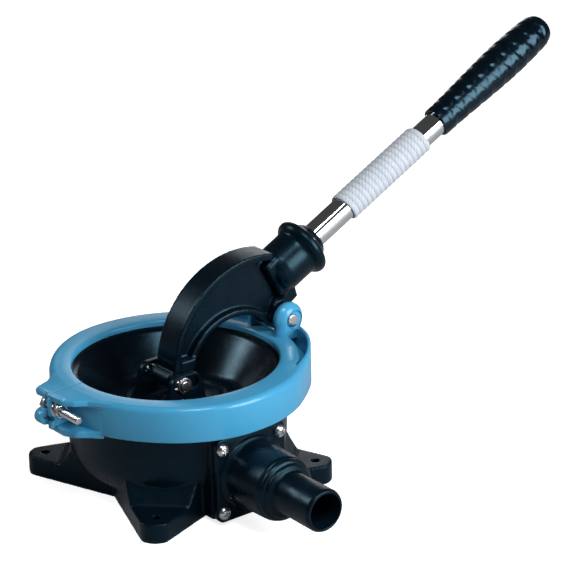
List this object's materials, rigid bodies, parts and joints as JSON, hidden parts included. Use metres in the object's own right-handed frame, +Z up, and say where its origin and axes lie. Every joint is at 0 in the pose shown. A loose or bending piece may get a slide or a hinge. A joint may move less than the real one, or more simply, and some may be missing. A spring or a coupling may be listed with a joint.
{
  "type": "manual diaphragm bilge pump",
  "caption": "Hand-worked diaphragm pump: star-footed bowl, split clamp ring, rocking lever with a plug-in handle, stepped outlet and opposed inlet.",
  "frame": {"origin": "centre of the base's flat underside", "axes": "+Z up out of the base, +X towards the handle in the lever's swing plane, -Y along the outlet"},
  "size_m": [0.3913, 0.2353, 0.2333],
  "materials": {
    "black_plastic": "satin moulded, fine grain",
    "blue_plastic": "gloss moulded",
    "black_rubber": "satin moulded rubber",
    "grip_vinyl": "wet gloss",
    "white_cord": "laid cord",
    "stainless": "satin",
    "polished_tube": "polished",
    "nylon_bush": "natural nylon"
  },
  "bodies": {
    "root": {"pump_body": "black_plastic", "clamp_ring": "blue_plastic", "clamp_bolt": "stainless", "clamp_washer": "stainless", "clamp_nut": "stainless", "diaphragm": "black_rubber", "fulcrum_pin": "stainless", "fulcrum_clip": "stainless", "outlet_port": "black_plastic", "inlet_port": "black_plastic", "outlet_gasket": "black_rubber", "inlet_gasket": "black_rubber", "outlet_valve_seat": "black_plastic", "inlet_valve_seat": "black_plastic", "outlet_screw_low_left": "stainless", "outlet_screw_low_right": "stainless", "outlet_screw_top_left": "stainless", "outlet_screw_top_right": "stainless", "inlet_screw_low_left": "stainless", "inlet_screw_low_right": "stainless", "inlet_screw_top_left": "stainless", "inlet_screw_top_right": "stainless"},
    "lever": {"pump_lever": "black_plastic", "fulcrum_bush": "nylon_bush", "clevis_pin": "stainless", "clevis_clip_outlet_side": "stainless", "clevis_clip_inlet_side": "stainless"},
    "piston": {"diaphragm_top_plate": "black_plastic", "diaphragm_backing_plate": "black_plastic", "diaphragm_bolt": "stainless", "diaphragm_nut": "stainless"},
    "handle": {"handle_tube": "polished_tube", "handle_grip": "grip_vinyl", "lanyard_winding": "white_cord"},
    "outlet_valve": {"outlet_flap_valve": "black_rubber"},
    "inlet_valve": {"inlet_flap_valve": "black_rubber"}
  },
  "joints": [
    {"name": "lever_pivot", "type": "hinge", "parent": "root", "child": "lever", "pos_m": [0.0745, 0, 0.0855], "axis": [0, 1, 0], "range_deg": [-14, 14]},
    {"name": "diaphragm_stroke", "type": "slide", "parent": "root", "child": "piston", "axis": [0, 0, 1], "range_m": [-0.0205, 0.0205], "deforming": ["diaphragm"]},
    {"name": "handle_pull", "type": "slide", "parent": "lever", "child": "handle", "axis": [0.887, 0, 0.4617], "range_m": [0, 0.045]},
    {"name": "outlet_valve_hinge", "type": "hinge", "parent": "root", "child": "outlet_valve", "pos_m": [0, -0.068, 0.042], "axis": [-1, 0, 0], "range_deg": [0, 40]},
    {"name": "inlet_valve_hinge", "type": "hinge", "parent": "root", "child": "inlet_valve", "pos_m": [0, 0.061, 0.042], "axis": [-1, 0, 0], "range_deg": [0, 40]}
  ],
  "couplings": [
    {"joint": "diaphragm_stroke", "follows": "lever_pivot", "m_per_rad": 0.0806}
  ]
}
